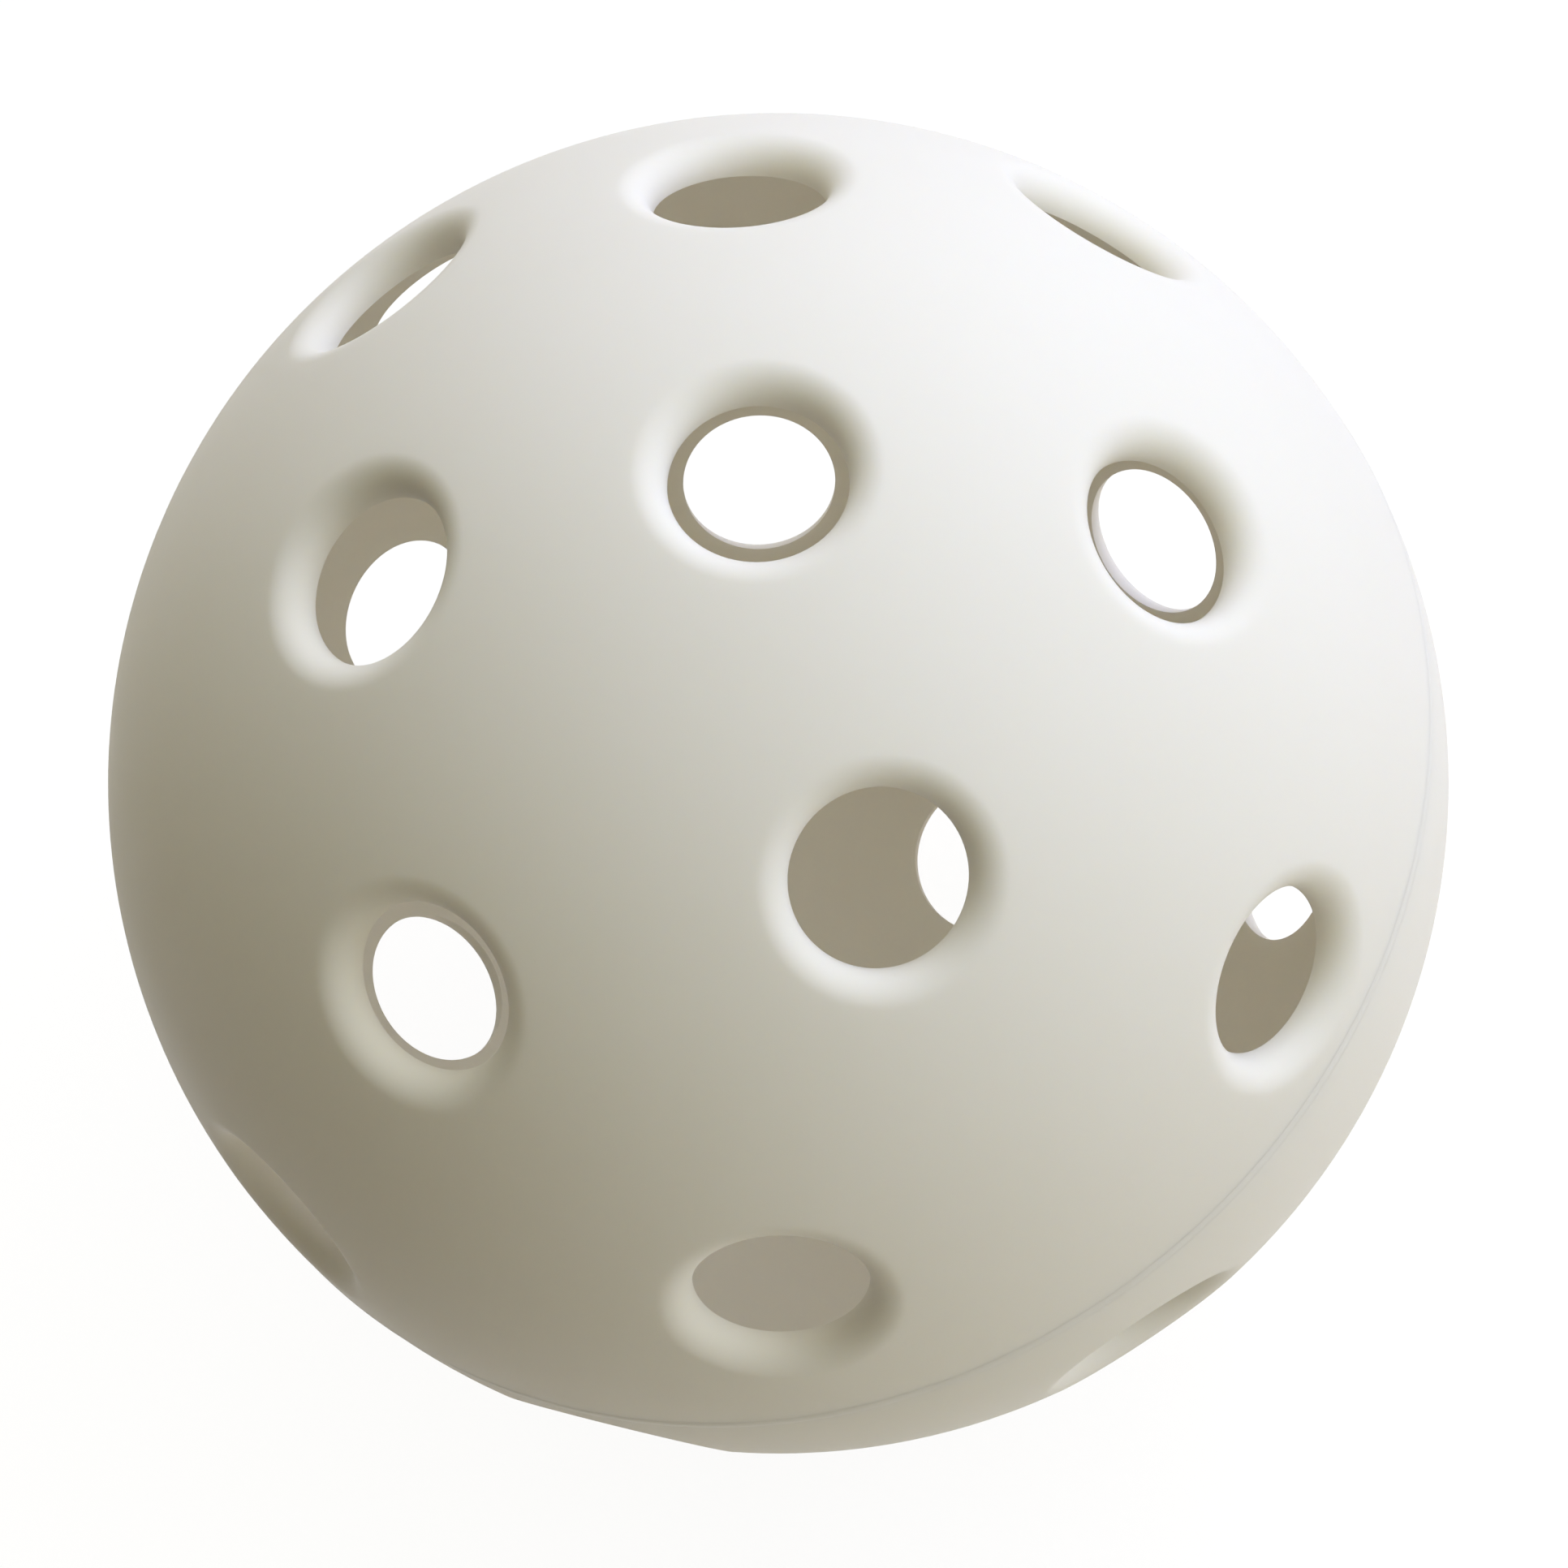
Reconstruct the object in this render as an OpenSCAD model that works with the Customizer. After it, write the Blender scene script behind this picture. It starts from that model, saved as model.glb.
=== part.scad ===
// Hollow perforated play ball: two moulded half shells that locate on a lip and are welded at the seam.
// The origin is the ball's centre, the seam lies in the XY plane and Z runs through both poles.
// Millimetres and degrees.

/* [Shell] */
// Outside diameter of the ball
ball_d = 74; // [60:0.5:90]
// Thickness of the moulded wall
wall = 2; // [1.6:0.1:3]

/* [Holes] */
// Diameter of the straight bore of every hole
hole_d = 9.2; // [6:0.1:12]
// Radius that rounds the outer mouth of every hole
mouth_r = 1.6; // [0.4:0.1:2]
// Least straight bore that stays under the rounded mouth, measured through the wall
bore_land = 0.4; // [0.3:0.1:0.9]
// Plain wall between the seam and the nearest hole mouths
seam_land = 1.8; // [0.8:0.1:4]

/* [Upper rows] */
// Tilt of the upper half's inner pair from the pole
upper_inner_tilt = 17; // [15:0.5:22]
// Tilt of the two ring holes behind the pole
upper_back_tilt = 39; // [36:0.5:44]
// Tilt of the two ring holes in front of the pole
upper_front_tilt = 41; // [36:0.5:44]
// Tilt of the ring hole beside the inner pair
upper_side_tilt = 52; // [48:0.5:54]
// Tilt of the two corner holes behind the ring
upper_corner_tilt = 65; // [62:0.5:68]
// Tilt of the single hole in front of the ring
upper_end_tilt = 72; // [66:0.5:74]
// Tilt of the single hole behind the ring
upper_far_tilt = 74.5; // [71:0.5:76]

/* [Lower rows] */
// Tilt of the lower half's inner pair from its pole
lower_inner_tilt = 15; // [13:0.5:20]
// Tilt of the lower ring's hole nearest to its pole
lower_near_tilt = 40; // [38:0.5:44]
// Tilt of the three lower ring holes on the front side
lower_front_tilt = 47; // [44:0.5:50]
// Tilt of the lower ring's right hole
lower_right_tilt = 52.5; // [48:0.5:54]
// Tilt of the lower ring's left hole
lower_left_tilt = 54.5; // [50:0.5:56]
// Tilt of the lower ring's back hole
lower_back_tilt = 58; // [54:0.5:60]
// Tilt of the two lower holes between the ring and the seam row
lower_outer_tilt = 72; // [68:0.5:74]

/* [Seam] */
// Thickness of the locating lip on the upper half
lip_t = 0.7; // [0.5:0.05:0.9]
// Height of the locating lip below the seam
lip_h = 1.2; // [0.6:0.1:2]
// Clearance between the lip and its rebate
lip_gap = 0.1; // [0.05:0.01:0.2]
// Width of the weld bead
bead_w = 0.8; // [0.4:0.1:1.4]
// Depth of the weld bead into the wall
bead_depth = 0.4; // [0.2:0.05:0.6]
// Height of the weld bead's crown above the ball
bead_proud = 0.06; // [0.02:0.01:0.2]

/* [Hidden] */
$fn = 96;

ball_r = ball_d / 2;
inner_r = ball_r - wall;
hole_r = hole_d / 2;
// How far a cutting shape runs past the surface that it cuts
over = 1;

// The mouth's rounding touches the ball from inside, and a narrow flat ring then meets the sphere.
mouth = min(mouth_r, wall - bore_land);
mouth_axis_r = hole_r + mouth;
mouth_axis_z = sqrt(pow(ball_r - mouth, 2) - pow(mouth_axis_r, 2));
mouth_top_z = mouth_axis_z + mouth;
mouth_edge_r = sqrt(pow(ball_r, 2) - pow(mouth_top_z, 2));
seam_tilt = 90 - asin(seam_land / ball_r) - asin(mouth_edge_r / ball_r);

// Hole rows of each half: tilt from the half's own pole, then the turns about Z from +X.
upper_rows = [
    [upper_inner_tilt, [0, 180]],
    [upper_back_tilt, [65, 117]],
    [upper_front_tilt, [-58.5, -121]],
    [upper_side_tilt, [-5]],
    [upper_corner_tilt, [38, 142]],
    [upper_end_tilt, [-90]],
    [upper_far_tilt, [114]],
    [seam_tilt, [-38, -142]],
];
lower_rows = [
    [lower_inner_tilt, [70, -110]],
    [lower_near_tilt, [1]],
    [lower_front_tilt, [-146, -92, -42]],
    [lower_right_tilt, [47]],
    [lower_left_tilt, [175.5]],
    [lower_back_tilt, [98]],
    [lower_outer_tilt, [-67, 138]],
    [seam_tilt, [19, -116]],
];

// The bead's crown is an arc through the groove's two edges.
bead_edge_r = sqrt(pow(ball_r, 2) - pow(bead_w / 2, 2));
crown_h = ball_r + bead_proud - bead_edge_r;
crown_r = (pow(bead_w / 2, 2) + pow(crown_h, 2)) / (2 * crown_h);
groove_r = ball_r - bead_depth;

// Section of one bare half: a quarter ring with the weld groove's half cut from its outer edge.
module half_section() {
    difference() {
        intersection() {
            circle(ball_r);
            square(ball_r + over);
        }
        circle(inner_r);
        translate([groove_r, -over]) square([bead_depth + over, bead_w / 2 + over]);
    }
}

// What a hole takes out, along Z: the straight bore and the mouth that opens round the arc.
module hole_cut() {
    bore_start = inner_r - wall;
    cut_end = ball_r + over;
    rotate_extrude() {
        translate([0, bore_start]) square([hole_r, cut_end - bore_start]);
        difference() {
            translate([0, mouth_axis_z]) square([mouth_axis_r, cut_end - mouth_axis_z]);
            translate([mouth_axis_r, mouth_axis_z]) circle(mouth);
        }
        translate([0, mouth_top_z]) square([mouth_edge_r + over, cut_end - mouth_top_z]);
    }
}

// All the holes of one half, whose pole is up.
module holes(rows) {
    for (row = rows, turn = row[1]) rotate([0, row[0], turn]) hole_cut();
}

module upper_half() {
    color("whitesmoke") difference() {
        rotate_extrude() {
            half_section();
            translate([inner_r, -lip_h]) square([lip_t, lip_h + bead_w / 2]);
        }
        holes(upper_rows);
    }
}

module lower_half() {
    rebate_r = inner_r + lip_t + lip_gap;
    color("whitesmoke") mirror([0, 0, 1]) difference() {
        rotate_extrude() difference() {
            half_section();
            translate([0, -over]) square([rebate_r, lip_h + lip_gap + over]);
        }
        holes(lower_rows);
    }
}

module weld_bead() {
    color("gainsboro") rotate_extrude() intersection() {
        translate([groove_r, -bead_w / 2]) square([bead_depth + bead_proud + over, bead_w]);
        translate([ball_r + bead_proud - crown_r, 0]) circle(crown_r);
    }
}

upper_half();
lower_half();
weld_bead();
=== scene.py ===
import math

import bmesh
import bpy
from mathutils import Matrix, Vector
from mathutils.geometry import delaunay_2d_cdt


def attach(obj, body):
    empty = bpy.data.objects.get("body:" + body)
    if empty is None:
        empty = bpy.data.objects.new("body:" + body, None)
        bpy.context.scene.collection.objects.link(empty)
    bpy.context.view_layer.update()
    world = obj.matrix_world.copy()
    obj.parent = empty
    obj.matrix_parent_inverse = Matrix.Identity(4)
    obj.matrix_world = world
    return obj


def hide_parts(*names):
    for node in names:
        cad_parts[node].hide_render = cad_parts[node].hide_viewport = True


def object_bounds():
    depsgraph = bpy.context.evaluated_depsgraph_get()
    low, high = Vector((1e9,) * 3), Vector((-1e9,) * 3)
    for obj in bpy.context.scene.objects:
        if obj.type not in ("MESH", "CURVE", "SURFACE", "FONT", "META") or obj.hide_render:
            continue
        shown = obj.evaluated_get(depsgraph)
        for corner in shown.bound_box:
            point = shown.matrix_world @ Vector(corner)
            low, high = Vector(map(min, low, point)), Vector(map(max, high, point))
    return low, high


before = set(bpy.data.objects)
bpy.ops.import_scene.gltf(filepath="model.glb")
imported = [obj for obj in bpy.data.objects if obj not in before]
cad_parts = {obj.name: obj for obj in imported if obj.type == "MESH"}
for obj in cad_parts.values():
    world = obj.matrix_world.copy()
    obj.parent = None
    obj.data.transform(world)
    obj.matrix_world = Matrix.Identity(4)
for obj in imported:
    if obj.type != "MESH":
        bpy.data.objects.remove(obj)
cad_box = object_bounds()


# Upper half shell: one thin moulding of satin, off-white, faintly translucent polyethylene.
# Pins in the mould leave the round holes, and every outer mouth is rounded over towards the bore.
# A thin lip inside the rim drops into the lower half, and the outer edge has half of the weld's groove.
BALL_R = 0.0370
WALL = 0.0020
INNER_R = BALL_R - WALL
HOLE_R = 0.0046
MOUTH_R = 0.0016
SEAM_LAND = 0.0018
LIP_T = 0.0007
LIP_H = 0.0012
LIP_GAP = 0.0001
BEAD_W = 0.0008
BEAD_DEPTH = 0.0004
RIM_POINTS = 360
MOUTH_POINTS = 80
MOUTH_STEPS = 16
OUTER_SPACING = 0.0010
INNER_SPACING = 0.0014

# The mouth's arc touches the ball from inside, on the line from the ball's centre through the arc's own.
# The land beside the seam is measured from the narrow flat that ends each mouth of the solids.
mouth_axis_r = HOLE_R + MOUTH_R
mouth_angle = math.asin(mouth_axis_r / (BALL_R - MOUTH_R))
mouth_axis_h = (BALL_R - MOUTH_R) * math.cos(mouth_angle)
bore_foot_h = math.sqrt(INNER_R ** 2 - HOLE_R ** 2)
flat_edge_r = math.sqrt(BALL_R ** 2 - (mouth_axis_h + MOUTH_R) ** 2)
seam_tilt = 90 - math.degrees(math.asin(SEAM_LAND / BALL_R) + math.asin(flat_edge_r / BALL_R))


def hole_axes(rows, pole):
    """Directions of a half's holes from rows of (tilt from the half's own pole, turns about Z)."""
    axes = []
    for tilt, turns in rows:
        for turn in turns:
            t, f = math.radians(tilt), math.radians(turn)
            axes.append(Vector((math.sin(t) * math.cos(f), math.sin(t) * math.sin(f), pole * math.cos(t))))
    return axes


# The start of every ring of vertices is square to this direction, which lies along no hole's axis.
RING_START = Vector((0.31, 0.83, 0.47))


def circle_of_verts(bm, axis, radius, height, count):
    """A ring of vertices round an axis through the ball's centre."""
    side = axis.cross(RING_START).normalized()
    across = axis.cross(side)
    ring = []
    for i in range(count):
        a = 2 * math.pi * i / count
        ring.append(bm.verts.new(axis * height + (side * math.cos(a) + across * math.sin(a)) * radius))
    return ring


def strip(bm, ring_a, ring_b):
    """The band of faces between two rings of equal count."""
    n = len(ring_a)
    for i in range(n):
        j = (i + 1) % n
        bm.faces.new((ring_a[i], ring_a[j], ring_b[j], ring_b[i]))


# Area that each point takes in spacings squared, room kept beside holes and rim in spacings, and the
# distance in the flat under which two points would count as one.
POINT_AREA = 0.866
HOLE_ROOM = 0.6
RIM_ROOM = 0.55
SAME_POINT = 1e-10


def pierced_cap(bm, pole, radius, rim, mouths, axes, hole_angle, spacing):
    """Fills the spherical cap between its rim and its hole rings with even triangles.

    The points are laid flat from the far pole, where circles stay circles, and joined there.
    """
    rim_height = abs(rim[0].co.z)
    points = [v for ring in [rim, *mouths] for v in ring]
    count = int(2 * math.pi * radius * (radius - rim_height) / (POINT_AREA * spacing ** 2))
    keep_clear = math.cos(hole_angle + HOLE_ROOM * spacing / radius)
    golden = math.pi * (3 - math.sqrt(5))
    for k in range(count):
        h = 1 - (k + 0.5) / count * (1 - rim_height / radius)
        if h * radius < rim_height + RIM_ROOM * spacing:
            continue
        r = math.sqrt(1 - h * h)
        n = Vector((r * math.cos(k * golden), r * math.sin(k * golden), pole * h))
        if all(n.dot(a) < keep_clear for a in axes):
            points.append(bm.verts.new(n * radius))
    flat = []
    for v in points:
        n = v.co.normalized()
        flat.append(Vector((n.x, n.y)) / (1 + pole * n.z))
    edges, start = [], 0
    for ring in [rim, *mouths]:
        edges += [(start + i, start + (i + 1) % len(ring)) for i in range(len(ring))]
        start += len(ring)
    _, _, triangles, origins, _, _ = delaunay_2d_cdt(flat, edges, [], 0, SAME_POINT)
    inside = math.cos(hole_angle)
    for triangle in triangles:
        corners = [points[origins[i][0]] for i in triangle]
        middle = sum((v.co for v in corners), Vector()) / 3
        middle.normalize()
        if all(middle.dot(a) < inside for a in axes):
            bm.faces.new(corners)


def finished_piece(bm, name, sharp_rings):
    """The mesh as a smooth object of the scene, with hard edges along the given rings."""
    bmesh.ops.recalc_face_normals(bm, faces=bm.faces)
    for face in bm.faces:
        face.smooth = True
    for ring in sharp_rings:
        for a, b in zip(ring, ring[1:] + ring[:1]):
            bm.edges.get((a, b)).smooth = False
    mesh = bpy.data.meshes.new(name)
    bm.to_mesh(mesh)
    bm.free()
    piece = bpy.data.objects.new(name, mesh)
    bpy.context.collection.objects.link(piece)
    return piece


def moulded_half(name, rows, pole, with_lip):
    """One half shell with its outside, rounded mouths, bores, inside and rim."""
    axes = hole_axes(rows, pole)
    up = Vector((0, 0, 1))
    bm = bmesh.new()
    mouths, feet = [], []
    for axis in axes:
        rings = []
        for k in range(MOUTH_STEPS + 1):
            a = (math.pi / 2 + mouth_angle) * k / MOUTH_STEPS - mouth_angle
            rings.append(circle_of_verts(bm, axis, mouth_axis_r - MOUTH_R * math.sin(a),
                                         mouth_axis_h + MOUTH_R * math.cos(a), MOUTH_POINTS))
        rings.append(circle_of_verts(bm, axis, HOLE_R, bore_foot_h, MOUTH_POINTS))
        for ring_a, ring_b in zip(rings, rings[1:]):
            strip(bm, ring_a, ring_b)
        mouths.append(rings[0])
        feet.append(rings[-1])
    groove = BEAD_W / 2
    rim_section = [(math.sqrt(BALL_R ** 2 - groove ** 2), groove), (BALL_R - BEAD_DEPTH, groove),
                   (BALL_R - BEAD_DEPTH, 0)]
    if with_lip:
        lip_r = INNER_R + LIP_T
        rim_section += [(lip_r, 0), (lip_r, -LIP_H), (INNER_R, -LIP_H), (INNER_R, 0)]
    else:
        rebate_r = INNER_R + LIP_T + LIP_GAP
        rebate_h = LIP_H + LIP_GAP
        rim_section += [(rebate_r, 0), (rebate_r, rebate_h),
                        (math.sqrt(INNER_R ** 2 - rebate_h ** 2), rebate_h)]
    rims = [circle_of_verts(bm, up, r, pole * h, RIM_POINTS) for r, h in rim_section]
    for ring_a, ring_b in zip(rims, rims[1:]):
        strip(bm, ring_a, ring_b)
    pierced_cap(bm, pole, BALL_R, rims[0], mouths, axes, mouth_angle, OUTER_SPACING)
    pierced_cap(bm, pole, INNER_R, rims[-1], feet, axes, math.asin(HOLE_R / INNER_R), INNER_SPACING)
    return finished_piece(bm, name, feet + (rims[:-1] if with_lip else rims))


upper_rows = [
    (17, (0, 180)),
    (39, (65, 117)),
    (41, (-58.5, -121)),
    (52, (-5,)),
    (65, (38, 142)),
    (72, (-90,)),
    (74.5, (114,)),
    (seam_tilt, (-38, -142)),
]
upper_shell = moulded_half("upper_shell", upper_rows, pole=1, with_lip=True)


def math_node(tree, operation, *values):
    """The result of a math node on numbers and other nodes' results."""
    node = tree.nodes.new("ShaderNodeMath")
    node.operation = operation
    for socket, value in zip(node.inputs, values):
        if isinstance(value, (int, float)):
            socket.default_value = value
        else:
            tree.links.new(value, socket)
    return node.outputs["Value"]


def noise_node(tree, place, scale, detail):
    """A noise value at each place."""
    node = tree.nodes.new("ShaderNodeTexNoise")
    node.inputs["Scale"].default_value = scale
    node.inputs["Detail"].default_value = detail
    tree.links.new(place, node.inputs["Vector"])
    return node.outputs["Fac"]


def spread_node(tree, value, least, most, interpolation="LINEAR"):
    """A value that goes from 0 to 1 while the given one goes from the least to the most."""
    node = tree.nodes.new("ShaderNodeMapRange")
    node.interpolation_type = interpolation
    node.inputs["From Min"].default_value = least
    node.inputs["From Max"].default_value = most
    tree.links.new(value, node.inputs["Value"])
    return node.outputs["Result"]


# The skin that all the moulded plastic shares: faint clouds in the colour, a soft orange peel from the
# mould, a few dark specks in the resin and some rubbed streaks.
SPECK_COLOUR = (0.25, 0.22, 0.18, 1)
SPECK_LEAST = 0.003
SPECK_GROWTH = 0.009
CLOUD_ROUGHNESS = 0.10
RUB_ROUGHNESS = 0.4
RUB_DEPTH = 0.5

skin = bpy.data.node_groups.new("moulded_skin", "ShaderNodeTree")
for label, kind in (("Tint", "NodeSocketColor"), ("Cloud Tint", "NodeSocketColor"),
                    ("Speck Share", "NodeSocketFloat"), ("Rub", "NodeSocketFloat"),
                    ("Satin", "NodeSocketFloat")):
    skin.interface.new_socket(label, in_out="INPUT", socket_type=kind)
for label, kind in (("Colour", "NodeSocketColor"), ("Roughness", "NodeSocketFloat"),
                    ("Height", "NodeSocketFloat")):
    skin.interface.new_socket(label, in_out="OUTPUT", socket_type=kind)
add, join = skin.nodes.new, skin.links.new
given, result = add("NodeGroupInput"), add("NodeGroupOutput")
place = add("ShaderNodeTexCoord").outputs["Object"]

clouds = noise_node(skin, place, scale=60, detail=4)
cloud_mask = spread_node(skin, clouds, least=0.35, most=0.7)
clouded = add("ShaderNodeMix")
clouded.data_type = "RGBA"
join(cloud_mask, clouded.inputs["Factor"])
join(given.outputs["Tint"], clouded.inputs["A"])
join(given.outputs["Cloud Tint"], clouded.inputs["B"])

specks = add("ShaderNodeTexVoronoi")
specks.inputs["Scale"].default_value = 75
join(place, specks.inputs["Vector"])
speck_kind = add("ShaderNodeSeparateColor")
join(specks.outputs["Color"], speck_kind.inputs["Color"])
speck_reach = math_node(skin, "MULTIPLY_ADD", speck_kind.outputs["Red"], SPECK_GROWTH, SPECK_LEAST)
in_speck = math_node(skin, "LESS_THAN", specks.outputs["Distance"], speck_reach)
is_specked = math_node(skin, "LESS_THAN", speck_kind.outputs["Green"], given.outputs["Speck Share"])
specked = add("ShaderNodeMix")
specked.data_type = "RGBA"
specked.inputs["B"].default_value = SPECK_COLOUR
join(math_node(skin, "MULTIPLY", in_speck, is_specked), specked.inputs["Factor"])
join(clouded.outputs["Result"], specked.inputs["A"])

streak_place = add("ShaderNodeMapping")
streak_place.inputs["Rotation"].default_value = (0.6, 0.9, 0.3)
streak_place.inputs["Scale"].default_value = (40, 420, 420)
join(place, streak_place.inputs["Vector"])
streaks = noise_node(skin, streak_place.outputs["Vector"], scale=1, detail=3)
streak_mask = spread_node(skin, streaks, least=0.66, most=0.76)
rubbed = math_node(skin, "MULTIPLY", streak_mask, given.outputs["Rub"])

clouded_satin = math_node(skin, "MULTIPLY_ADD", cloud_mask, CLOUD_ROUGHNESS, given.outputs["Satin"])
roughness = math_node(skin, "MULTIPLY_ADD", rubbed, RUB_ROUGHNESS, clouded_satin)
peel = noise_node(skin, place, scale=900, detail=3)
height = math_node(skin, "MULTIPLY_ADD", rubbed, -RUB_DEPTH, peel)

join(specked.outputs["Result"], result.inputs["Colour"])
join(roughness, result.inputs["Roughness"])
join(height, result.inputs["Height"])


def moulded_plastic(name, tint, cloud_tint, speck_share, rub, satin):
    """A satin plastic with the moulded skin and a little light in its depth."""
    plastic = bpy.data.materials.new(name)
    plastic.use_nodes = True
    tree = plastic.node_tree
    shader = tree.nodes["Principled BSDF"]
    shader.inputs["IOR"].default_value = 1.5
    shader.inputs["Specular IOR Level"].default_value = 0.10
    shader.inputs["Subsurface Weight"].default_value = 0.25
    shader.inputs["Subsurface Radius"].default_value = (1.0, 0.85, 0.65)
    shader.inputs["Subsurface Scale"].default_value = 0.0012
    moulded = tree.nodes.new("ShaderNodeGroup")
    moulded.node_tree = skin
    moulded.inputs["Tint"].default_value = tint
    moulded.inputs["Cloud Tint"].default_value = cloud_tint
    moulded.inputs["Speck Share"].default_value = speck_share
    moulded.inputs["Rub"].default_value = rub
    moulded.inputs["Satin"].default_value = satin
    bump = tree.nodes.new("ShaderNodeBump")
    bump.inputs["Strength"].default_value = 0.25
    bump.inputs["Distance"].default_value = 0.00004
    tree.links.new(moulded.outputs["Colour"], shader.inputs["Base Color"])
    tree.links.new(moulded.outputs["Roughness"], shader.inputs["Roughness"])
    tree.links.new(moulded.outputs["Height"], bump.inputs["Height"])
    tree.links.new(bump.outputs["Normal"], shader.inputs["Normal"])
    return plastic


PLASTIC_TINT = (0.958, 0.938, 0.884, 1)
shell_plastic = moulded_plastic("shell_plastic", PLASTIC_TINT, cloud_tint=(0.948, 0.928, 0.87, 1),
                                speck_share=0.10, rub=0.35, satin=0.48)
upper_shell.data.materials.append(shell_plastic)
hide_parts("upper_half")
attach(upper_shell, "root")


# Lower half shell: the second moulding, of the same polyethylene and wall, with its own holes.
# A rebate inside its rim takes the upper half's lip, so that the two meet edge to edge before welding.
lower_rows = [
    (15, (70, -110)),
    (40, (1,)),
    (47, (-146, -92, -42)),
    (52.5, (47,)),
    (54.5, (175.5,)),
    (58, (98,)),
    (72, (-67, 138)),
    (seam_tilt, (19, -116)),
]
lower_shell = moulded_half("lower_shell", lower_rows, pole=-1, with_lip=False)
lower_shell.data.materials.append(shell_plastic)
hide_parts("lower_half")
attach(lower_shell, "root")


# Weld bead: the narrow ring of melted plastic that fills the groove at the seam.
# Spinning or a hot plate joined the halves there, so its crown stands a hair proud and a little uneven.
# It is slightly glossier than the moulded skin.
BEAD_PROUD = 0.00006
BEAD_TURNS = 480
BEAD_ARC = 9
# The crown's least share of its full height, and its waves: share, count round the seam and start.
CROWN_LEAST = 0.55
CROWN_WAVES = ((0.3, 7, 1.3), (0.2, 23, 0.4))
bead_edge = math.sqrt(BALL_R ** 2 - (BEAD_W / 2) ** 2)
bm = bmesh.new()
sections = []
for i in range(BEAD_TURNS):
    a = 2 * math.pi * i / BEAD_TURNS
    sway = 0.5 + sum(share * math.sin(count * a + start) for share, count, start in CROWN_WAVES)
    crown_height = BEAD_PROUD * (CROWN_LEAST + (1 - CROWN_LEAST) * sway)
    out = Vector((math.cos(a), math.sin(a), 0))
    section = []
    for k in range(BEAD_ARC):
        s = 2 * k / (BEAD_ARC - 1) - 1
        crown = (1 - s * s) * crown_height
        section.append(bm.verts.new(out * (bead_edge + crown) + Vector((0, 0, s * BEAD_W / 2))))
    for s in (1, -1):
        section.append(bm.verts.new(out * (BALL_R - BEAD_DEPTH) + Vector((0, 0, s * BEAD_W / 2))))
    sections.append(section)
for section, after in zip(sections, sections[1:] + sections[:1]):
    strip(bm, section, after)
bead_corners = (0, BEAD_ARC - 1, BEAD_ARC, BEAD_ARC + 1)
weld_ring = finished_piece(bm, "weld_ring", [[section[k] for section in sections] for k in bead_corners])
weld_plastic = moulded_plastic("weld_plastic", PLASTIC_TINT, cloud_tint=(0.943, 0.923, 0.865, 1),
                               speck_share=0.05, rub=0.2, satin=0.40)
weld_ring.data.materials.append(weld_plastic)
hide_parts("weld_bead")
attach(weld_ring, "root")


# Floor: a plain pale sheet under the ball that the camera sees as white with the ball's shadow on it.
# To the ball it is only a pale surface that gives back part of the light.
FLOOR_REACH = 4
FLOOR_GAP = 0.0002


def seen_as_white(tree):
    """A mask of the rays from the camera, off mirrors and through glass, which see plain white."""
    path = tree.nodes.new("ShaderNodeLightPath")
    mask = path.outputs["Is Camera Ray"]
    for other in ("Is Glossy Ray", "Is Transmission Ray"):
        mask = math_node(tree, "MAXIMUM", mask, path.outputs[other])
    return mask


floor_corners = [(x * FLOOR_REACH, y * FLOOR_REACH, 0) for x, y in ((-1, -1), (1, -1), (1, 1), (-1, 1))]
floor_mesh = bpy.data.meshes.new("floor")
floor_mesh.from_pydata(floor_corners, [], [(0, 1, 2, 3)])
floor = bpy.data.objects.new("floor", floor_mesh)
floor.location.z = cad_box[0][2] - FLOOR_GAP
bpy.context.collection.objects.link(floor)
sheet = bpy.data.materials.new("pale_sheet")
sheet.use_nodes = True
tree = sheet.node_tree
tree.nodes.clear()
given_back = tree.nodes.new("ShaderNodeBsdfDiffuse")
given_back.inputs["Color"].default_value = (0.90, 0.84, 0.74, 1)
shaded = tree.nodes.new("ShaderNodeBsdfDiffuse")
shaded.inputs["Color"].default_value = (0.16, 0.16, 0.16, 1)
white = tree.nodes.new("ShaderNodeEmission")
white.inputs["Strength"].default_value = 0.92
both = tree.nodes.new("ShaderNodeAddShader")
tree.links.new(shaded.outputs["BSDF"], both.inputs[0])
tree.links.new(white.outputs["Emission"], both.inputs[1])
chosen = tree.nodes.new("ShaderNodeMixShader")
tree.links.new(seen_as_white(tree), chosen.inputs["Fac"])
tree.links.new(given_back.outputs["BSDF"], chosen.inputs[1])
tree.links.new(both.outputs["Shader"], chosen.inputs[2])
sheet_out = tree.nodes.new("ShaderNodeOutputMaterial")
tree.links.new(chosen.outputs["Shader"], sheet_out.inputs["Surface"])
floor_mesh.materials.append(sheet)


# Room and lamps: a plain studio with daylight from one side. The camera, mirrors and glass see it as white.
# The daylight has a wide warm part from the room, a middle one, and a narrow cool one from the window.
# One soft lamp stands high on the bright side, and another fills in low.
WINDOW_SIDE = Vector((0.833, 0.549, -0.03)).normalized()
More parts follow.
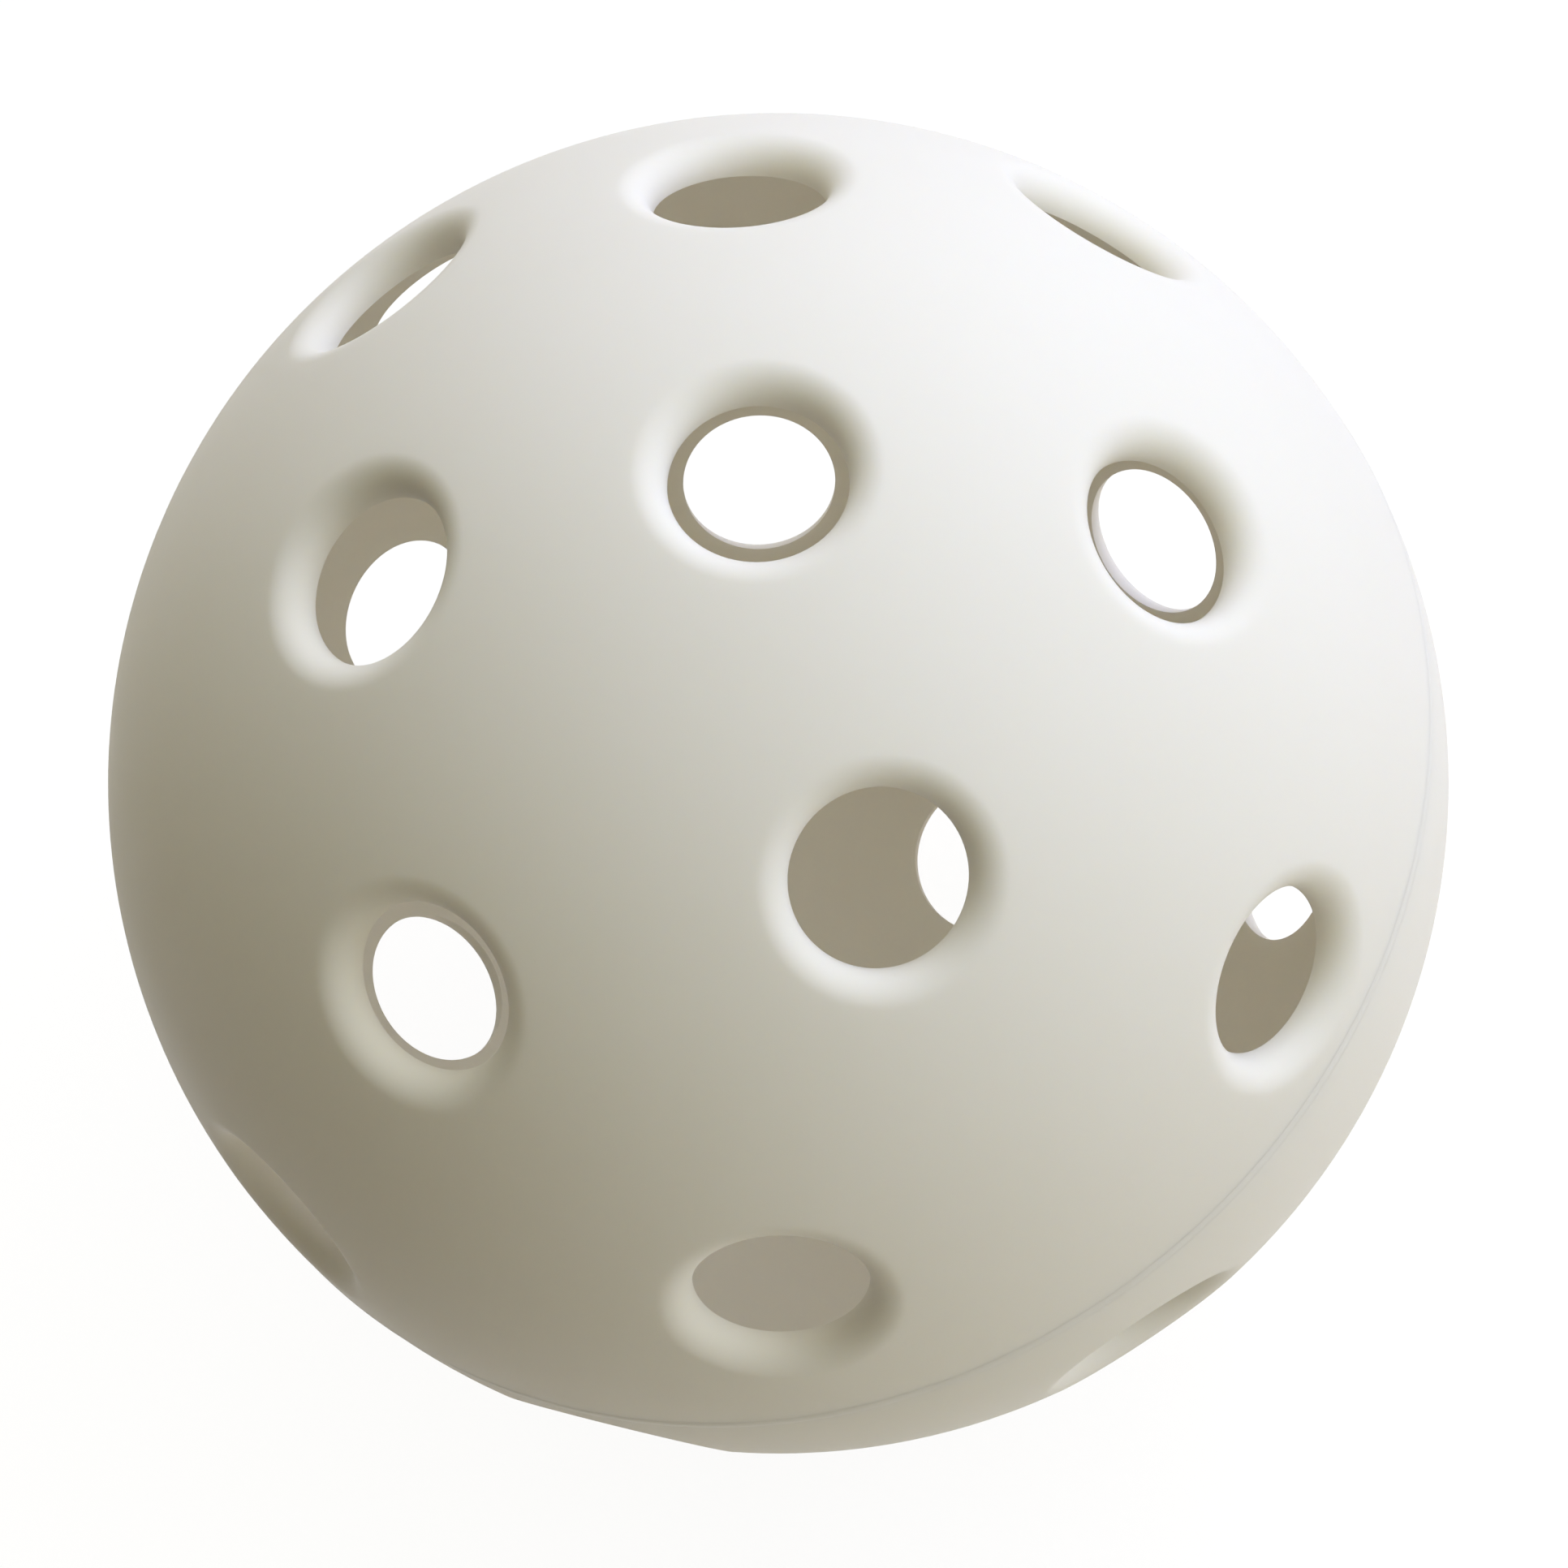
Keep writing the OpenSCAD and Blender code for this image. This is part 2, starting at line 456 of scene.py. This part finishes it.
# Each part's colour, and the cosines of the angles from the window where it begins and where it is full.
DAYLIGHT = (
    ((0.99, 0.77, 0.42, 1), -0.7, 0.7),
    ((0.26, 0.50, 0.50, 1), -0.4, 0.8),
    ((0.06, 0.09, 0.96, 1), 0.2, 0.9),
)
room = bpy.data.worlds.new("room")
bpy.context.scene.world = room
room.use_nodes = True
tree = room.node_tree
tree.nodes.clear()
room_way = tree.nodes.new("ShaderNodeTexCoord")
towards_window = tree.nodes.new("ShaderNodeVectorMath")
towards_window.operation = "DOT_PRODUCT"
towards_window.inputs[1].default_value = WINDOW_SIDE
tree.links.new(room_way.outputs["Generated"], towards_window.inputs[0])
daylight = None
for colour, least, most in DAYLIGHT:
    glow = tree.nodes.new("ShaderNodeBackground")
    glow.inputs["Color"].default_value = colour
    strength = spread_node(tree, towards_window.outputs["Value"], least, most, interpolation="SMOOTHSTEP")
    tree.links.new(strength, glow.inputs["Strength"])
    if daylight is None:
        daylight = glow.outputs["Background"]
        continue
    joined = tree.nodes.new("ShaderNodeAddShader")
    tree.links.new(daylight, joined.inputs[0])
    tree.links.new(glow.outputs["Background"], joined.inputs[1])
    daylight = joined.outputs["Shader"]
room_white = tree.nodes.new("ShaderNodeBackground")
room_white.inputs["Color"].default_value = (1, 1, 1, 1)
room_mix = tree.nodes.new("ShaderNodeMixShader")
tree.links.new(seen_as_white(tree), room_mix.inputs["Fac"])
tree.links.new(daylight, room_mix.inputs[1])
tree.links.new(room_white.outputs["Background"], room_mix.inputs[2])
room_out = tree.nodes.new("ShaderNodeOutputWorld")
tree.links.new(room_mix.outputs["Shader"], room_out.inputs["Surface"])

# Light goes round many times inside a white hollow, so it is followed for longer than usual.
bpy.context.scene.cycles.diffuse_bounces = 10

# Each lamp's name, way from the ball's centre, width, watts and colour.
LAMPS = (
    ("soft_lamp", (0.60, 0.30, 0.74), 0.25, 0.29, (0.76, 0.96, 1.0)),
    ("fill_lamp", (0.88, -0.42, 0.10), 0.30, 0.25, (0.78, 0.98, 1.0)),
)
LAMP_DISTANCE = 0.6
for name, way, size, energy, colour in LAMPS:
    lamp = bpy.data.lights.new(name, "AREA")
    lamp.shape = "SQUARE"
    lamp.size = size
    lamp.energy = energy
    lamp.color = colour
    stand = bpy.data.objects.new(name, lamp)
    lamp_way = Vector(way).normalized()
    stand.location = lamp_way * LAMP_DISTANCE
    stand.rotation_euler = lamp_way.to_track_quat("Z", "Y").to_euler()
    bpy.context.collection.objects.link(stand)


# Camera: it looks at the ball's centre from above the seam.
# It is turned about its own axis as the photograph is, and the small shifts centre the ball as there.
CAMERA_DISTANCE = 9 * BALL_R
camera_right = Vector((0.9419, -0.1080, -0.3181)).normalized()
camera_back = Vector((0.2440, -0.4313, 0.8686)).normalized()
camera_up = camera_back.cross(camera_right).normalized()
camera_right = camera_up.cross(camera_back)
lens = bpy.data.cameras.new("camera")
lens.sensor_width = 36
lens.lens = 137.66
lens.shift_x = 0.0036
lens.shift_y = -0.0005
lens.clip_start = 0.01
camera = bpy.data.objects.new("camera", lens)
turned = Matrix((camera_right, camera_up, camera_back)).transposed().to_4x4()
camera.matrix_world = Matrix.Translation(camera_back * CAMERA_DISTANCE) @ turned
bpy.context.collection.objects.link(camera)
bpy.context.scene.camera = camera
bpy.context.scene.view_settings.view_transform = "Standard"
